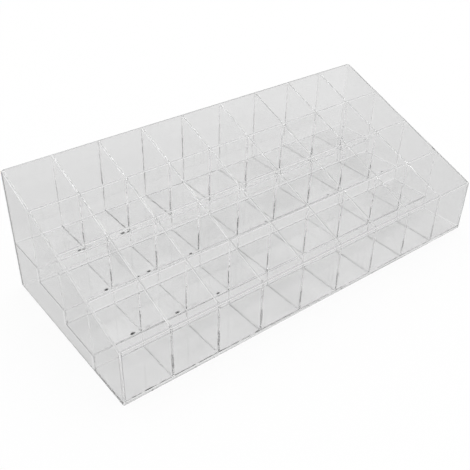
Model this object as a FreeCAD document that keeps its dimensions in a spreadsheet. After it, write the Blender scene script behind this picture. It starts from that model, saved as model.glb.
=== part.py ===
import FreeCAD, Part
import Sketcher
import os

# Lipstick organizer: a stepped rack of clear sheet with square cells in rows and columns.
# The rack stands on z = 0, centred on x = 0 and y = 0. Its front looks towards -Y.
# Every sheet lies along one of the three planes. Cells are counted from the front left.

doc = FreeCAD.newDocument("lipstick_organizer")

# Driving dimensions, in millimetres, and the two cell counts

sizes = doc.addObject("Spreadsheet::Sheet", "Sizes")

DRIVING = (
    ("sheet_gauge", 1.2, "thickness of every sheet"),
    ("cell_clear", 23.4, "inside width and depth of a cell"),
    ("column_count", 9, "cells from left to right"),
    ("row_count", 4, "cells from front to back"),
    ("front_height", 30.0, "height of the front panel"),
    ("back_height", 66.4, "height of the back panel"),
    ("step_rise", 8.4, "how much higher each floor is than the one in front of it"),
    ("lap_play", 0.1, "how much wider a half-lap slot is than the sheet in it"),
    ("corner_round", 0.8, "radius of a side panel's upper corners"),
    ("edge_break", 0.15, "bevel along the polished upper edges"),
)

for row, (alias, number, meaning) in enumerate(DRIVING, start=1):
    sizes.set(f"A{row}", meaning)
    sizes.set(f"B{row}", str(number))
    sizes.setAlias(f"B{row}", alias)
doc.recompute()

COLUMNS = int(sizes.column_count)
ROWS = int(sizes.row_count)
TOUCH = 1e-3  # places closer together than this, in millimetres, count as one

# Expressions shared by the sheets. Distances along the rack run from its front left corner.

GAUGE = "Sizes.sheet_gauge"
PITCH = "(Sizes.cell_clear + Sizes.sheet_gauge)"
WIDTH = f"(Sizes.column_count * {PITCH} + {GAUGE})"
DEPTH = f"(Sizes.row_count * {PITCH} + {GAUGE})"
LEFT = f"(-{WIDTH} / 2)"
FRONT = f"(-{DEPTH} / 2)"
SPAN = f"({WIDTH} - 2 * {GAUGE})"
HALF_PLAY = "Sizes.lap_play / 2"
STEEPNESS = f"((Sizes.back_height - Sizes.front_height) / ({DEPTH} - {GAUGE}))"


def along(count):
    """Distance from the outer face of the rack to the near face of a divider."""
    return f"({count} * {PITCH})"


def slope_height(distance):
    """Height of the rack's sloping top at a distance from the front."""
    return f"(Sizes.front_height + {STEEPNESS} * {distance})"


def floor_top(row):
    """Height of the upper face of a row's floor, row 1 being the front one."""
    return f"({GAUGE} + {row - 1} * Sizes.step_rise)"


def lap_height(row):
    """Height where the two halves of a half-lap meet, halfway up the crossing behind a row."""
    return f"(({floor_top(row + 1)} + {slope_height(along(row))}) / 2)"


# Building blocks


def value_of(expression):
    """The number that an expression gives with the present sizes."""
    return float(sizes.evalExpression(expression.replace("Sizes.", "")))


def origin_plane(body, role):
    """One of the body's own three origin planes."""
    return next(plane for plane in body.Origin.OriginFeatures if plane.Role == role)


def new_sketch(body, name, role):
    sketch = body.newObject("Sketcher::SketchObject", name)
    sketch.AttachmentSupport = (origin_plane(body, role), [""])
    sketch.MapMode = "FlatFace"
    return sketch


def hold_corner(sketch, line, across, up):
    """Ties the start of a line to the sketch's axes by two bound distances."""
    for kind, axis, expression in (("DistanceX", -2, across), ("DistanceY", -1, up)):
        if expression == "0":
            sketch.addConstraint(Sketcher.Constraint("PointOnObject", line, 1, axis))
            continue
        distance = Sketcher.Constraint(kind, -1, 1, line, 1, value_of(expression))
        index = sketch.addConstraint(distance)
        sketch.setExpression(f"Constraints[{index}]", expression)


def draw_outline(sketch, corners):
    """A closed outline of straight sides. Each corner is a pair of expressions."""
    first = sketch.GeometryCount
    count = len(corners)
    points = [FreeCAD.Vector(value_of(across), value_of(up), 0) for across, up in corners]
    for i in range(count):
        sketch.addGeometry(Part.LineSegment(points[i], points[(i + 1) % count]))
    for i in range(count):
        after = first + (i + 1) % count
        sketch.addConstraint(Sketcher.Constraint("Coincident", first + i, 2, after, 1))
    for i, (across, up) in enumerate(corners):
        hold_corner(sketch, first + i, across, up)


def rectangle(low, high):
    """Corners of an upright rectangle from its lowest and highest corner."""
    return (low, (high[0], low[1]), high, (low[0], high[1]))


def cut_sheet(label, role, corners):
    """A body cut from one sheet: its outline on an origin plane, padded by the gauge."""
    body = doc.addObject("PartDesign::Body", label)
    body.Label = label
    outline = new_sketch(body, f"{label}_outline", role)
    draw_outline(outline, corners)
    pad = body.newObject("PartDesign::Pad", f"{label}_sheet")
    pad.Profile = outline
    pad.setExpression("Length", GAUGE)
    pad.Reversed = role == "XZ_Plane"
    doc.recompute()
    return body


def cut_slots(body, role, outlines):
    """Cuts slots right through a sheet and checks that material came away."""
    before = body.Shape.Volume
    sketch = new_sketch(body, f"{body.Label}_slots", role)
    for corners in outlines:
        draw_outline(sketch, corners)
    pocket = body.newObject("PartDesign::Pocket", f"{body.Label}_slot_cut")
    pocket.Profile = sketch
    pocket.Type = "ThroughAll"
    pocket.Reversed = role == "YZ_Plane"
    doc.recompute()
    if not body.Shape.Volume < before:
        raise RuntimeError(f"the slots of {body.Label} cut nothing")
    return pocket


def edges_where(shape, wanted):
    return [f"Edge{i}" for i, edge in enumerate(shape.Edges, start=1) if wanted(edge)]


def dress_edges(body, kind, size_name, expression, wanted):
    """Adds a Fillet or Chamfer on the edges that a test picks out."""
    base = body.Tip
    edges = edges_where(base.Shape, wanted)
    feature = body.newObject(f"PartDesign::{kind}", f"{body.Label}_{kind.lower()}")
    feature.Base = (base, edges)
    feature.setExpression(size_name, expression)
    doc.recompute()


def place(body, x, y, z):
    for axis, expression in (("x", x), ("y", y), ("z", z)):
        if expression != "0":
            body.setExpression(f"Placement.Base.{axis}", expression)


def is_sloping(edge):
    """True for an edge that climbs with the rack's top."""
    start, end = (vertex.Point for vertex in edge.Vertexes)
    return abs(end.z - start.z) > TOUCH and abs(end.y - start.y) > TOUCH


def lies_at_height(edge, height):
    return all(abs(vertex.Z - height) < TOUCH for vertex in edge.Vertexes)


# Side panels: full depth and full height, with the slope cut along their tops


def side_panel(label, x):
    corners = (
        ("0", "0"),
        (DEPTH, "0"),
        (DEPTH, "Sizes.back_height"),
        (f"({DEPTH} - {GAUGE})", "Sizes.back_height"),
        ("0", "Sizes.front_height"),
    )
    panel = cut_sheet(label, "YZ_Plane", corners)
    depth = value_of(DEPTH)

    def is_upper_corner(edge):
        box = edge.BoundBox
        crosses_sheet = box.XLength > value_of(GAUGE) / 2
        at_an_end = box.YMax < TOUCH or box.YMin > depth - TOUCH
        return crosses_sheet and at_an_end and box.ZMin > TOUCH

    def is_outer_rim(edge):
        box = edge.BoundBox
        return box.XLength < TOUCH and box.ZMax > TOUCH

    dress_edges(panel, "Fillet", "Radius", "Sizes.corner_round", is_upper_corner)
    dress_edges(panel, "Chamfer", "Size", "Sizes.edge_break", is_outer_rim)
    place(panel, x, FRONT, "0")
    return panel


# Front and back panels: plain walls held between the side panels


def end_panel(label, height, y):
    panel = cut_sheet(label, "XZ_Plane", rectangle(("0", "0"), (SPAN, height)))
    top = value_of(height)
    span = value_of(SPAN)

    def is_upper_edge(edge):
        return lies_at_height(edge, top) and edge.Length > span / 2

    dress_edges(panel, "Chamfer", "Size", "Sizes.edge_break", is_upper_edge)
    place(panel, f"{LEFT} + {GAUGE}", y, "0")
    return panel


# Floors: each runs from behind the wall in front of it to the back of the next wall's foot


def floor(row):
    depth = f"({PITCH} - {GAUGE})" if row == ROWS else PITCH
    sheet = cut_sheet(f"row_{row}_floor", "XY_Plane", rectangle(("0", "0"), (SPAN, depth)))
    y = f"{FRONT} + {along(row - 1)} + {GAUGE}"
    place(sheet, f"{LEFT} + {GAUGE}", y, f"{floor_top(row)} - {GAUGE}")
    return sheet


# Row dividers: each stands on the back of a floor, is the riser up to the next one,
# and has slots open at the top for the column dividers


def row_divider(row):
    height = f"({slope_height(along(row))} - {floor_top(row)})"
    foot_to_lap = f"({lap_height(row)} - {floor_top(row)})"
    label = f"row_divider_{row}"
    divider = cut_sheet(label, "XZ_Plane", rectangle(("0", "0"), (SPAN, height)))
    low = (f"({PITCH} - {GAUGE} - {HALF_PLAY})", foot_to_lap)
    high = (f"({PITCH} + {HALF_PLAY})", height)
    pocket = cut_slots(divider, "XZ_Plane", [rectangle(low, high)])
    slots = divider.newObject("PartDesign::LinearPattern", f"{label}_slot_row")
    slots.Originals = [pocket]
    slots.Direction = (pocket.Profile[0], ["H_Axis"])
    slots.setExpression("Length", f"(Sizes.column_count - 2) * {PITCH}")
    slots.setExpression("Occurrences", "Sizes.column_count - 1")
    divider.Tip = slots
    doc.recompute()
    top = value_of(height)

    def is_upper_edge(edge):
        return lies_at_height(edge, top) and edge.Length > value_of(GAUGE) * 2

    dress_edges(divider, "Chamfer", "Size", "Sizes.edge_break", is_upper_edge)
    y = f"{FRONT} + {along(row)}"
    place(divider, f"{LEFT} + {GAUGE}", y, floor_top(row))
    return divider


# Column dividers: full depth, sloped along the top, stepped along the bottom to follow
# the floors, with slots open at the bottom that drop over the row dividers


def column_outline():
    """From the foot at the front, back along the steps, then down the slope."""
    corners = [(GAUGE, floor_top(1))]
    for row in range(1, ROWS):
        riser_back = f"({along(row)} + {GAUGE})"
        corners.append((riser_back, floor_top(row)))
        corners.append((riser_back, floor_top(row + 1)))
    back = f"({DEPTH} - {GAUGE})"
    corners.append((back, floor_top(ROWS)))
    corners.append((back, slope_height(back)))
    corners.append((GAUGE, slope_height(GAUGE)))
    return corners


def column_slots():
    """A slot for each row divider, from just below its foot to the lap."""
    for row in range(1, ROWS):
        low = (f"({along(row)} - {HALF_PLAY})", f"({floor_top(row)} - {GAUGE} / 2)")
        high = (f"({along(row)} + {GAUGE} + {HALF_PLAY})", lap_height(row))
        yield rectangle(low, high)


def column_divider(column):
    divider = cut_sheet(f"column_divider_{column}", "YZ_Plane", column_outline())
    cut_slots(divider, "YZ_Plane", list(column_slots()))
    dress_edges(divider, "Chamfer", "Size", "Sizes.edge_break", is_sloping)
    place(divider, f"{LEFT} + {along(column)}", FRONT, "0")
    return divider


# The rack

pieces = [
    side_panel("left_side_panel", LEFT),
    side_panel("right_side_panel", f"{LEFT} + {WIDTH} - {GAUGE}"),
    end_panel("front_panel", "Sizes.front_height", FRONT),
    end_panel("back_panel", "Sizes.back_height", f"{FRONT} + {DEPTH} - {GAUGE}"),
]
pieces += [floor(row) for row in range(1, ROWS + 1)]
pieces += [row_divider(row) for row in range(1, ROWS)]
pieces += [column_divider(column) for column in range(1, COLUMNS)]
doc.recompute()

# Checks before anything is written

for item in doc.Objects:
    if "Invalid" in item.State or "Error" in item.State:
        raise RuntimeError(f"{item.Label} did not build: {item.State}")
for piece in pieces:
    shape = piece.Shape
    if shape.isNull() or not shape.isValid() or len(shape.Solids) != 1:
        raise RuntimeError(f"{piece.Label} is not one valid solid")

os.makedirs("parts", exist_ok=True)
for piece in pieces:
    piece.Shape.exportStep(os.path.join("parts", f"{piece.Label}.step"))
    print(piece.Label, round(piece.Shape.Volume, 1), "cubic mm")
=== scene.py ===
import math

import bmesh
import bpy
from mathutils import Matrix, Vector, noise


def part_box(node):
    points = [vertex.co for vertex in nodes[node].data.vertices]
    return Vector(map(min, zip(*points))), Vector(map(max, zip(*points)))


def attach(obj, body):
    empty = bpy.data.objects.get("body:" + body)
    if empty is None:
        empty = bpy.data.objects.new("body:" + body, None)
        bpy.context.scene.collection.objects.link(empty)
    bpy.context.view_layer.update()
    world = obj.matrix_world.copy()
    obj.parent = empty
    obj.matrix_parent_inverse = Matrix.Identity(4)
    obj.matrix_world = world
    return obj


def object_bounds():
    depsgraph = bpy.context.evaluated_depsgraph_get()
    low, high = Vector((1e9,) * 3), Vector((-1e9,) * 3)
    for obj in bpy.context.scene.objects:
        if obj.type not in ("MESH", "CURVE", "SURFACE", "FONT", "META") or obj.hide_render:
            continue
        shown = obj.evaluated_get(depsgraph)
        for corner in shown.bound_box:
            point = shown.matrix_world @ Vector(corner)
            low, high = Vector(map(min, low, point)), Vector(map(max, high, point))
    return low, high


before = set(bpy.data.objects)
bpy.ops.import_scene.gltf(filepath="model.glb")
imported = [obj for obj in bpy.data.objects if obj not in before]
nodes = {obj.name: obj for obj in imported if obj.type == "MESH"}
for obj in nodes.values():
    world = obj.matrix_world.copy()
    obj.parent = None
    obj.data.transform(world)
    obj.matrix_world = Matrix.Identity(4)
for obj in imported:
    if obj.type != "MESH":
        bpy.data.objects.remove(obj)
cad_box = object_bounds()

# The rack's own sizes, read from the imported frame, in metres. Row 1 is the front row.
ROWS = 4
COLUMNS = 9
# The walls at the left and right of each column, and at the front and back of each row
LEFT_WALLS = ["left_side_panel"] + [f"column_divider_{n}" for n in range(1, COLUMNS)]
RIGHT_WALLS = LEFT_WALLS[1:] + ["right_side_panel"]
FRONT_WALLS = ["front_panel"] + [f"row_divider_{n}" for n in range(1, ROWS)]
BACK_WALLS = FRONT_WALLS[1:] + ["back_panel"]
FLOORS = [f"row_{n}_floor" for n in range(1, ROWS + 1)]
FLOOR_TOPS = [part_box(name)[1].z for name in FLOORS]
GAUGE = FLOOR_TOPS[0]
RISE = FLOOR_TOPS[1] - FLOOR_TOPS[0]
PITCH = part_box("row_divider_2")[0].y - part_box("row_divider_1")[0].y
FRONT_FACE, BACK_FACE = cad_box[0].y, cad_box[1].y
LEFT_FACE, RIGHT_FACE = cad_box[0].x, cad_box[1].x
# The first row is reckoned from half a gauge behind the front panel, and the others a pitch further each.
ROWS_START = FRONT_FACE + 1.5 * GAUGE

# Camera: the photograph's viewing angle, in metres and degrees, with sensor and lens in millimetres
CAMERA_PLACE = Vector((-0.20262, -0.23329, 0.22986))
CAMERA_AZIMUTH = -38.95
CAMERA_ELEVATION = 35.18
CAMERA_ROLL = 1.61
SENSOR_WIDTH = 36.0
LENS = 54.42
NEAREST_SEEN = 0.01
FARTHEST_SEEN = 20.0

# Clear acrylic. A face's tone is the share of light that the sheet lets through, before reflection.
# Tones well below 1 are painted shade: they stand in for the grey surroundings and the shaded ground seen
# through the sheets.
REFRACTION = 1.49
DIVIDER_TONE = 0.98
# A riser, below the next floor, is painted shade for the shaded space under that floor.
RISER_TONE = 0.75
# The strip at a wall's foot reaches this far over the floor, in metres. Its tones are painted shade along
# the foot, darker than a clear divider and paler than a riser.
FOOT_STRIP = 0.0011
FRONT_FOOT_TONE = 0.86
RISER_FOOT_TONES = (0.79, 0.83, 0.83)
# Below and above the floors' tops. The darker tone below is painted shade, for the shaded ground under the
# floors seen through the sheet.
LEFT_TONES = (0.59, 0.76)
FRONT_TONES = (0.76, 0.90)
# The left panel's strip beside each floor's edge, painted paler than the tones on either side, in gauges
# from the floor's top
LEFT_STRIP = (-1.0, 0.2)
LEFT_STRIP_TONE = 0.85
# Painted shade below the floors: the right panel's at the front and back, and the back panel's at the left
# and right
RIGHT_TONES = (0.70, 0.76)
BACK_TONES = (0.74, 0.79)
# Row by row, with faint clouds. The grey is painted shade, for the shaded ground seen through each floor.
FLOOR_TONES = (0.76, 0.74, 0.76, 0.78)
CLOUD_SCALE = 45.0
CLOUD_RANGE = (0.3, 0.7)
CLOUD_TONES = (0.94, 1.05)

# Edges. The slopes of the left panel and the column dividers are frosted, so that they sink into what
# is behind them, but for the stretches painted paler as a highlight.
# Edge tones are painted light and shade: each edge is toned to the brightness around it, darker at the ends
# of risers and steps and along the front and back tops, and on the column dividers' tops darker at the left
# than at the right. The arrises are diffuse and painted grey.
END_TONE = 0.98
STEP_END_TONE = 0.80
RISER_END_TONE = 0.60
LEFT_END_TONE = 0.85
RIGHT_END_TONE = 0.65
ROW_TOP_TONE = 0.88
DIVIDER_TOP_TONES = (0.64, 0.78)
LEFT_TOP_TONE = 0.74
RIGHT_TOP_TONE = 0.92
FRONT_TOP_TONE = 0.60
BACK_TOP_TONES = (0.65, 0.50)
FROSTED_CLEARNESS = 0.42
ARRIS_TONE = 0.70
INNER_ARRIS_TONE = 0.85
ARRIS_ROUGHNESS = 0.5
# The painted highlight fades out between two places across the rack, and between two shares of each row's
# depth.
PAINTED_HIGHLIGHT_TONE = 0.80
PAINTED_HIGHLIGHT_ARRIS_TONE = 0.95
PAINTED_HIGHLIGHT_END = (-0.035, 0.012)
PAINTED_HIGHLIGHT_FADE = (0.40, 0.52)

# A surface looks along an axis, or up, where its normal has more than this much of that direction.
FACE_LIMIT = 0.9
TOP_LIMIT = 0.3
# How far each sheet is drawn in, in metres
JOINT_GAP = 2e-5
WELD_DISTANCE = 1e-6

# Solvent cement: broken, bubbly beads in the corners of the cells, in metres
RIGHT, BACK, UP = Vector((1, 0, 0)), Vector((0, 1, 0)), Vector((0, 0, 1))
CEMENT_STEP = 0.0008
CEMENT_RADIUS = 0.0002
# The middle of a bead's face, in bead radii out of the corner both ways. 0.5 would be flat.
BEAD_BULGE = 0.55
# How full a bead is, and how much it wavers slowly and quickly
LONG_BEAD = (0.9, 1.2, 0.8)
BROKEN_BEAD = (0.4, 0.4, 2.4)
# Each step of a bead reads the noise one stride further, in two layers.
SLOW_STRIDE, SLOW_LAYER = 0.37, 0.5
QUICK_STRIDE, QUICK_LAYER = 0.62, 9.5
# A bead breaks off below the first of these shares, and grows no thicker than the second.
THINNEST, THICKEST = 0.25, 1.8
# A bead's seed is its column, and this much for each row and for its kind.
ROW_SEED = 10.0
BEAD_SEEDS = {"foot": 0.1, "left_post": 0.2, "right_post": 0.3, "front_post": 0.4, "sill": 0.5,
              "back_line": 0.7}
# The shares, row by row and from left to right, say how thick each corner's bead is. 0 leaves it dry.
POST_SHARES = (
    (1.0, 0.8, 0.7, 0.7, 0.4, 0.3, 0.0, 0.0),
    (0.5, 0.5, 0.6, 0.5, 0.3, 0.0, 0.3, 0.0),
    (0.4, 0.4, 0.5, 0.5, 0.3, 0.0, 0.3, 0.0),
    (0.0, 0.45, 0.5, 0.45, 0.15, 0.0, 0.0, 0.0),
)
LEFT_POST_SHARES = (2.6, 2.6, 1.6, 0.0)
FRONT_POST_SHARE = 0.7
FRONT_POST_HEIGHT = 0.011
# A post's bead takes this share of its height, but in the last row it takes all of it.
POST_REACH = 0.5
FOOT_SHARES = (
    (0.0, 0.0, 0.0, 0.0, 0.0, 0.0, 0.0, 0.0),
    (0.0, 0.0, 0.0, 0.5, 0.0, 0.0, 0.0, 0.0),
    (0.0, 0.5, 0.3, 0.3, 0.0, 0.0, 0.0, 0.0),
    (1.1, 1.2, 0.8, 0.7, 0.3, 0.2, 0.4, 0.0),
)
SILL_SHARES = (
    (2.0, 2.0, 2.0, 1.5, 1.5, 1.4, 1.4, 1.3, 1.2),
    (0.0, 0.0, 0.0, 0.7, 0.9, 1.0, 0.2, 0.0, 0.0),
    (0.4, 0.7, 0.4, 0.2, 0.0, 0.0, 0.0, 0.0, 0.2),
    (0.0, 0.4, 0.0, 0.0, 0.0, 0.0, 0.0, 0.0, 0.0),
)
BACK_LINE_SHARES = (0.0, 0.35, 0.4, 0.5, 0.5, 0.4, 0.3, 0.3, 0.0)

# Drops of cement on the sills: row and column, then distance from the right wall and radius in millimetres
DROPS = {
    (4, 1): ((2.7, 0.62), (0.6, 0.44)),
    (4, 2): ((3.4, 0.79), (0.7, 0.44)),
    (4, 9): ((2.5, 0.44),),
    (3, 1): ((2.4, 0.7),),
    (3, 2): ((3.9, 0.7), (10.0, 0.44), (1.0, 0.35)),
    (3, 3): ((4.2, 0.53),),
    (3, 5): ((4.0, 0.44),),
    (3, 7): ((7.5, 0.44),),
    (3, 9): ((12.0, 0.44),),
    (2, 1): ((3.8, 0.79),),
    (2, 2): ((4.4, 0.7),),
    (2, 3): ((5.5, 0.62),),
}
MILLIMETRE = 0.001
# In radii: the half widths of a drop, and how far its middle lies behind the front wall and over the floor
DROP_SHAPE = (1.6, 0.7, 0.6)
DROP_SEAT = (0.75, 0.65)
DROP_BUMPS = 0.3
DROP_BUMP_SCALE = 2500.0
BUBBLE_SCALE = 450.0
BUBBLE_RANGE = (0.42, 0.60)
CEMENT_TONES = (0.45, 0.02)
CEMENT_CLEARNESS = 0.3
CEMENT_ROUGHNESS = 0.3
CEMENT_REFRACTION = 1.4

# Studio
GROUND_SIZE = 12.0
GROUND_GAP = 0.0002
GROUND_TONE = 0.9
GLOW_SHARE = 0.93
LAMP_PLACE = (0.32, 0.27, 0.95)
LAMP_SIZE = 0.5
LAMP_RADIANCE = 1.5
BOUNCES = 96
TRANSPARENT_BOUNCES = 32


def make_camera():
    data = bpy.data.cameras.new("camera")
    data.sensor_width = SENSOR_WIDTH
    data.lens = LENS
    data.clip_start = NEAREST_SEEN
    data.clip_end = FARTHEST_SEEN
    camera = bpy.data.objects.new("camera", data)
    bpy.context.scene.collection.objects.link(camera)
    turn = Matrix.Rotation(math.radians(CAMERA_AZIMUTH), 4, "Z")
    tilt = Matrix.Rotation(math.radians(90.0 - CAMERA_ELEVATION), 4, "X")
    roll = Matrix.Rotation(math.radians(CAMERA_ROLL), 4, "Z")
    camera.matrix_world = Matrix.Translation(CAMERA_PLACE) @ turn @ tilt @ roll
    bpy.context.scene.camera = camera


class Reckoning:
    """Number nodes in one node tree. A value is a plain number or another node's output."""

    def __init__(self, tree):
        self.tree = tree

    def connect(self, value, socket):
        if isinstance(value, bpy.types.NodeSocket):
            self.tree.links.new(value, socket)
        else:
            socket.default_value = value

    def do(self, operation, *values):
        node = self.tree.nodes.new("ShaderNodeMath")
        node.operation = operation
        for value, socket in zip(values, node.inputs):
            self.connect(value, socket)
        return node.outputs[0]

    def largest(self, first, *others):
        for other in others:
            first = self.do("MAXIMUM", first, other)
        return first

    def fade(self, value, start, end, low, high):
        """Goes from low at start to high at end, and stays level past both."""
        node = self.tree.nodes.new("ShaderNodeMapRange")
        for value_in, socket in zip((value, start, end, low, high), node.inputs):
            self.connect(value_in, socket)
        return node.outputs[0]

    def either(self, choice, if_not, if_so):
        return self.fade(choice, 0.0, 1.0, if_not, if_so)


class Surface(Reckoning):
    """A new material, with the surface's own point and normal as numbers to set its tones by."""

    def __init__(self, name):
        self.material = bpy.data.materials.new(name)
        self.material.use_nodes = True
        super().__init__(self.material.node_tree)
        self.shader = self.tree.nodes["Principled BSDF"]
        place = self.tree.nodes.new("ShaderNodeTexCoord")
        self.point = place.outputs["Object"]
        self.x, self.y, self.z = self.parts(self.point)
        self.normal = self.parts(place.outputs["Normal"])

    def parts(self, vector):
        node = self.tree.nodes.new("ShaderNodeSeparateXYZ")
        self.tree.links.new(vector, node.inputs[0])
        return list(node.outputs)

    def noise(self, scale):
        node = self.tree.nodes.new("ShaderNodeTexNoise")
        node.inputs["Scale"].default_value = scale
        self.tree.links.new(self.point, node.inputs["Vector"])
        return node.outputs["Fac"]

    def rows_back(self):
        """How many rows lie in front of the point: a whole number just behind each row divider."""
        return self.do("DIVIDE", self.do("SUBTRACT", self.y, ROWS_START), PITCH)

    def above_floor(self):
        """Height over the floor of the row that the point lies in."""
        row = self.do("MAXIMUM", self.do("MINIMUM", self.do("FLOOR", self.rows_back()), ROWS - 1.0), 0.0)
        return self.do("SUBTRACT", self.z, self.do("MULTIPLY_ADD", row, RISE, GAUGE))

    def at_front_end(self):
        return self.do("LESS_THAN", self.y, ROWS_START)

    def left_to_right(self, left, right):
        return self.fade(self.x, LEFT_FACE, RIGHT_FACE, left, right)

    def front_to_back(self, front, back):
        return self.fade(self.y, FRONT_FACE, BACK_FACE, front, back)

    def painted_highlight(self, whole_depth):
        """Where a slope is painted with a highlight, towards the left: over row 4, and on request over each
        row's front half.
        """
        rows_back = self.rows_back()
        lit = self.do("GREATER_THAN", rows_back, ROWS - 1.0)
        if whole_depth:
            front_half = self.fade(self.do("FRACT", rows_back), *PAINTED_HIGHLIGHT_FADE, 1.0, 0.0)
            lit = self.do("MAXIMUM", lit, front_half)
        return self.do("MULTIPLY", lit, self.fade(self.x, *PAINTED_HIGHLIGHT_END, 1.0, 0.0))

    def acrylic(self, axis, faces, tops, ends=END_TONE, arrises=INNER_ARRIS_TONE,
                top_clearness=1.0, end_clearness=1.0):
        """A clear sheet. Faces look along the axis, tops look up, arrises are the narrow broken edges
        and ends are the other edges."""
        facing = [self.do("ABSOLUTE", part) for part in self.normal]
        is_face = self.do("GREATER_THAN", facing["XYZ".index(axis)], FACE_LIMIT)
        is_top = self.do("GREATER_THAN", self.normal[2], TOP_LIMIT)
        is_flat = self.do("GREATER_THAN", self.largest(*facing), FACE_LIMIT)
        edges = self.either(is_top, ends, tops)
        self.connect(self.either(is_flat, arrises, self.either(is_face, edges, faces)),
                     self.shader.inputs["Base Color"])
        clear_edges = self.either(is_top, end_clearness, top_clearness)
        self.connect(self.either(is_flat, 0.0, self.either(is_face, clear_edges, 1.0)),
                     self.shader.inputs["Transmission Weight"])
        self.connect(self.either(is_flat, ARRIS_ROUGHNESS, 0.0), self.shader.inputs["Roughness"])
        self.shader.inputs["IOR"].default_value = REFRACTION
        return self.material


def left_panel_material():
    """Painted shade, darker below the floors than above them, with a paler painted strip beside each
    floor's edge. The slope carries a painted highlight.
    """
    look = Surface("left_side_acrylic")
    above_floor = look.above_floor()
    faces = look.either(look.do("GREATER_THAN", above_floor, 0.0), *LEFT_TONES)
    strip_middle = 0.5 * (LEFT_STRIP[0] + LEFT_STRIP[1]) * GAUGE
    strip_reach = 0.5 * (LEFT_STRIP[1] - LEFT_STRIP[0]) * GAUGE
    from_strip = look.do("ABSOLUTE", look.do("SUBTRACT", above_floor, strip_middle))
    faces = look.either(look.do("LESS_THAN", from_strip, strip_reach), faces, LEFT_STRIP_TONE)
    painted_highlight = look.painted_highlight(whole_depth=False)
    tops = look.either(painted_highlight, LEFT_TOP_TONE, PAINTED_HIGHLIGHT_TONE)
    ends = look.front_to_back(LEFT_END_TONE, END_TONE)
    # Arrises are painted paler under the highlight and along the ground, where they would take the shade.
    painted_pale_arrises = look.do("MAXIMUM", painted_highlight, look.do("LESS_THAN", look.z, GAUGE))
    arrises = look.either(painted_pale_arrises, ARRIS_TONE, PAINTED_HIGHLIGHT_ARRIS_TONE)
    end_clearness = look.either(look.at_front_end(), 1.0, FROSTED_CLEARNESS)
    return look.acrylic("X", faces, tops, ends, arrises, FROSTED_CLEARNESS, end_clearness)


def right_panel_material():
    look = Surface("right_side_acrylic")
    # Painted shade below the floors, clear above them.
    faces = look.either(look.do("GREATER_THAN", look.above_floor(), 0.0), DIVIDER_TONE,
                        look.front_to_back(*RIGHT_TONES))
    return look.acrylic("X", faces, RIGHT_TOP_TONE, RIGHT_END_TONE, ARRIS_TONE)


def column_divider_material():
    """Clear, but for painted shade at the foot in the front row. Its ends are painted darker near the
    floors as shade, and its slope carries a painted highlight towards the left.
    """
    look = Surface("column_divider_acrylic")
    in_front_foot = look.do("LESS_THAN", look.z, GAUGE + FOOT_STRIP)
    faces = look.either(in_front_foot, DIVIDER_TONE, FRONT_FOOT_TONE)
    painted_highlight = look.painted_highlight(whole_depth=True)
    tops = look.either(painted_highlight, look.left_to_right(*DIVIDER_TOP_TONES), PAINTED_HIGHLIGHT_TONE)
    ends = look.either(look.do("LESS_THAN", look.above_floor(), RISE), END_TONE, STEP_END_TONE)
    arrises = look.either(painted_highlight, INNER_ARRIS_TONE, PAINTED_HIGHLIGHT_ARRIS_TONE)
    return look.acrylic("X", faces, tops, ends, arrises, FROSTED_CLEARNESS)


def front_panel_material():
    look = Surface("front_acrylic")
    faces = look.either(look.do("GREATER_THAN", look.z, GAUGE), *FRONT_TONES)
    return look.acrylic("Y", faces, FRONT_TOP_TONE)


def back_panel_material():
    look = Surface("back_acrylic")
    # Painted shade below the last floor's top, clear above it.
    faces = look.either(look.do("GREATER_THAN", look.z, FLOOR_TOPS[-1]), DIVIDER_TONE,
                        look.left_to_right(*BACK_TONES))
    return look.acrylic("Y", faces, look.left_to_right(*BACK_TOP_TONES), END_TONE, ARRIS_TONE)


def row_divider_material(number):
    """The riser below the next floor is painted shade, darker than the clear wall above it, but paler at
    its foot. Its ends are painted darker along the riser.
    """
    look = Surface(f"row_divider_{number}_acrylic")
    above_riser = look.do("GREATER_THAN", look.z, FLOOR_TOPS[number])
    in_foot = look.do("LESS_THAN", look.z, FLOOR_TOPS[number - 1] + FOOT_STRIP)
    faces = look.either(in_foot, look.either(above_riser, RISER_TONE, DIVIDER_TONE),
                        RISER_FOOT_TONES[number - 1])
    return look.acrylic("Y", faces, ROW_TOP_TONE, look.either(above_riser, RISER_END_TONE, END_TONE))


def floor_material(number):
    """Painted shade, faintly clouded."""
    look = Surface(f"row_{number}_floor_acrylic")
    clouds = look.fade(look.noise(CLOUD_SCALE), *CLOUD_RANGE, *CLOUD_TONES)
    return look.acrylic("Z", look.do("MULTIPLY", clouds, FLOOR_TONES[number - 1]), END_TONE)


def dress(name, material):
    """Draws the sheet in by a hair as well, so that no two bonded faces lie in the same plane."""
    node = nodes[name]
    node.data.materials.clear()
    node.data.materials.append(material)
    weld = node.modifiers.new("weld", "WELD")
    weld.merge_threshold = WELD_DISTANCE
    shrink = node.modifiers.new("joint gap", "DISPLACE")
    shrink.strength = -JOINT_GAP
    shrink.mid_level = 0.0


def dress_rack():
    dress("left_side_panel", left_panel_material())
    dress("right_side_panel", right_panel_material())
    dress("front_panel", front_panel_material())
    dress("back_panel", back_panel_material())
    divider_material = column_divider_material()
    for name in LEFT_WALLS[1:]:
        dress(name, divider_material)
    for number, name in enumerate(FRONT_WALLS[1:], 1):
        dress(name, row_divider_material(number))
    for number, name in enumerate(FLOORS, 1):
        dress(name, floor_material(number))


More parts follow.
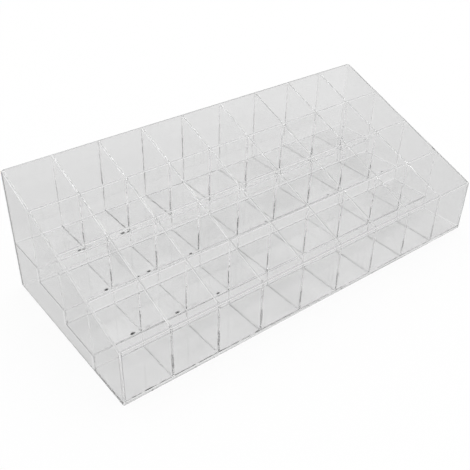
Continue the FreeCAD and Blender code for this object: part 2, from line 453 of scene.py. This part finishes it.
class Bead:
    """A fillet of cement of uneven thickness in the corner between two faces, across and up from it."""

    def __init__(self, mesh, start, end, across, up):
        self.mesh = mesh
        self.start, self.end = Vector(start), Vector(end)
        self.across, self.up = across, up

    def lay(self, share, seed, manner):
        """Lays cement whose thickness wavers slowly and quickly. It breaks off where it gets too thin."""
        fill, slow, quick = manner
        steps = round((self.end - self.start).length / CEMENT_STEP)
        run = []
        for step in range(steps + 1):
            slow_part = slow * noise.noise(Vector((step * SLOW_STRIDE, seed, SLOW_LAYER)))
            quick_part = quick * noise.noise(Vector((step * QUICK_STRIDE, seed, QUICK_LAYER)))
            thickness = share * min(THICKEST, fill + slow_part + quick_part)
            if thickness > THINNEST * share > 0.0:
                run.append((self.start.lerp(self.end, step / steps), CEMENT_RADIUS * thickness))
            else:
                self.make_length(run)
                run = []
        self.make_length(run)

    def make_length(self, run):
        """Makes one unbroken length of the bead: a four-sided tube with closed ends."""
        if len(run) < 2:
            return
        rings = []
        for place, size in run:
            bulge = BEAD_BULGE * size
            corners = ((JOINT_GAP, JOINT_GAP), (size, JOINT_GAP), (bulge, bulge), (JOINT_GAP, size))
            rings.append([self.mesh.verts.new(place + self.across * a + self.up * b) for a, b in corners])
        for ring, following in zip(rings, rings[1:]):
            for side in range(len(ring)):
                turn = (side + 1) % len(ring)
                self.mesh.faces.new((ring[side], ring[turn], following[turn], following[side]))
        self.mesh.faces.new(rings[0][::-1])
        self.mesh.faces.new(rings[-1])


def drop(mesh, place, radius):
    """A small uneven ball, drawn out along the sill that it sits on."""
    shape = Matrix.Translation(place) @ Matrix.Diagonal([radius * share for share in DROP_SHAPE] + [1.0])
    made = bmesh.ops.create_icosphere(mesh, subdivisions=2, radius=1.0, matrix=shape)
    for vert in made["verts"]:
        vert.co += (vert.co - place) * DROP_BUMPS * noise.noise(vert.co * DROP_BUMP_SCALE)


class Cell:
    """The corners of one open cell. Row and column count from 0 at the front left."""

    def __init__(self, mesh, row, column):
        self.mesh, self.row, self.column = mesh, row, column
        self.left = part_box(LEFT_WALLS[column])[1].x
        self.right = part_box(RIGHT_WALLS[column])[0].x
        self.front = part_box(FRONT_WALLS[row])[1].y
        self.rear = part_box(BACK_WALLS[row])[0].y
        self.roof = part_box(BACK_WALLS[row])[1].z
        self.floor = FLOOR_TOPS[row]

    def seed(self, bead):
        """Gives each bead of each cell its own line through the noise."""
        return ROW_SEED * self.row + self.column + BEAD_SEEDS[bead]

    def post(self, x, y, height, into_x, into_y):
        """A bead that goes up from the floor in one of the cell's four upright corners."""
        return Bead(self.mesh, (x, y, self.floor), (x, y, self.floor + height), into_x, into_y)

    def cement_posts(self):
        if self.column == 0:
            post = self.post(self.left, self.rear, RISE, RIGHT, -BACK)
            post.lay(LEFT_POST_SHARES[self.row], self.seed("left_post"), LONG_BEAD)
        elif self.row == 0:
            post = self.post(self.left, self.front, FRONT_POST_HEIGHT, RIGHT, BACK)
            post.lay(FRONT_POST_SHARE, self.seed("front_post"), BROKEN_BEAD)
        if self.column < COLUMNS - 1:
            in_last_row = self.row == ROWS - 1
            reach, manner = (1.0, LONG_BEAD) if in_last_row else (POST_REACH, BROKEN_BEAD)
            post = self.post(self.right, self.rear, reach * (self.roof - self.floor), -RIGHT, -BACK)
            post.lay(POST_SHARES[self.row][self.column], self.seed("right_post"), manner)

    def cement_floor(self):
        front_left = (self.left, self.front, self.floor)
        rear_left = (self.left, self.rear, self.floor)
        front_right = (self.right, self.front, self.floor)
        rear_right = (self.right, self.rear, self.floor)
        if self.column > 0:
            foot = Bead(self.mesh, front_left, rear_left, RIGHT, UP)
            foot.lay(FOOT_SHARES[self.row][self.column - 1], self.seed("foot"), LONG_BEAD)
        sill = Bead(self.mesh, front_left, front_right, BACK, UP)
        sill.lay(SILL_SHARES[self.row][self.column], self.seed("sill"), LONG_BEAD)
        if self.row == ROWS - 1:
            back_line = Bead(self.mesh, rear_left, rear_right, -BACK, UP)
            back_line.lay(BACK_LINE_SHARES[self.column], self.seed("back_line"), LONG_BEAD)

    def drip(self):
        """Drops on the sill."""
        for reach, radius in DROPS.get((self.row + 1, self.column + 1), ()):
            radius *= MILLIMETRE
            place = Vector((self.right - MILLIMETRE * reach, self.front + DROP_SEAT[0] * radius,
                            self.floor + DROP_SEAT[1] * radius))
            drop(self.mesh, place, radius)


def cement_material():
    """Partly clear, with dark bubbles."""
    look = Surface("cement")
    bubbles = look.fade(look.noise(BUBBLE_SCALE), *BUBBLE_RANGE, *CEMENT_TONES)
    look.connect(bubbles, look.shader.inputs["Base Color"])
    look.shader.inputs["Transmission Weight"].default_value = CEMENT_CLEARNESS
    look.shader.inputs["Roughness"].default_value = CEMENT_ROUGHNESS
    look.shader.inputs["IOR"].default_value = CEMENT_REFRACTION
    return look.material


def make_cement():
    """One piece of cement for each row."""
    material = cement_material()
    for row in range(ROWS):
        mesh = bmesh.new()
        for column in range(COLUMNS):
            cell = Cell(mesh, row, column)
            cell.cement_posts()
            cell.cement_floor()
            cell.drip()
        bmesh.ops.recalc_face_normals(mesh, faces=mesh.faces)
        name = f"cement_row_{row + 1}"
        data = bpy.data.meshes.new(name)
        mesh.to_mesh(data)
        mesh.free()
        data.materials.append(material)
        piece = bpy.data.objects.new(name, data)
        bpy.context.scene.collection.objects.link(piece)
        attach(piece, "root")


def make_ground():
    """Glows white where it is seen, reflected or refracted, but for a share of plain pale ground, which
    keeps the rack's shadow. To all other light it is the plain ground alone."""
    bpy.ops.mesh.primitive_plane_add(size=GROUND_SIZE, location=(0, 0, -GROUND_GAP))
    ground = bpy.context.object
    ground.name = "studio_floor"
    material = bpy.data.materials.new("studio_floor")
    material.use_nodes = True
    tree = material.node_tree
    tree.nodes.clear()
    reckon = Reckoning(tree)
    path = tree.nodes.new("ShaderNodeLightPath").outputs
    seen = reckon.largest(path["Is Camera Ray"], path["Is Glossy Ray"], path["Is Transmission Ray"])
    diffuse = tree.nodes.new("ShaderNodeBsdfDiffuse")
    diffuse.inputs["Color"].default_value = (GROUND_TONE, GROUND_TONE, GROUND_TONE, 1)
    glow = tree.nodes.new("ShaderNodeEmission")
    mix = tree.nodes.new("ShaderNodeMixShader")
    reckon.connect(reckon.do("MULTIPLY", seen, GLOW_SHARE), mix.inputs[0])
    tree.links.new(diffuse.outputs[0], mix.inputs[1])
    tree.links.new(glow.outputs[0], mix.inputs[2])
    tree.links.new(mix.outputs[0], tree.nodes.new("ShaderNodeOutputMaterial").inputs["Surface"])
    ground.data.materials.append(material)


def make_world():
    world = bpy.data.worlds.new("studio")
    bpy.context.scene.world = world
    world.use_nodes = True
    back = world.node_tree.nodes["Background"]
    back.inputs["Color"].default_value = (1, 1, 1, 1)
    back.inputs["Strength"].default_value = 1.0


def make_lamp():
    """A soft square lamp over the rack, aimed at the middle of its base."""
    data = bpy.data.lights.new("overhead_softbox", "AREA")
    data.shape = "SQUARE"
    data.size = LAMP_SIZE
    data.energy = LAMP_RADIANCE * math.pi * LAMP_SIZE * LAMP_SIZE
    lamp = bpy.data.objects.new("overhead_softbox", data)
    bpy.context.scene.collection.objects.link(lamp)
    lamp.location = LAMP_PLACE
    lamp.rotation_euler = (-Vector(LAMP_PLACE)).to_track_quat("-Z", "Y").to_euler()


def set_cycles():
    """Light bounces many times inside a clear sheet before it comes out."""
    scene = bpy.context.scene
    scene.view_settings.view_transform = "Standard"
    scene.cycles.max_bounces = BOUNCES
    scene.cycles.transmission_bounces = BOUNCES
    scene.cycles.glossy_bounces = BOUNCES
    scene.cycles.transparent_max_bounces = TRANSPARENT_BOUNCES


make_camera()
dress_rack()
make_cement()
make_ground()
make_world()
make_lamp()
set_cycles()

bpy.context.view_layer.update()
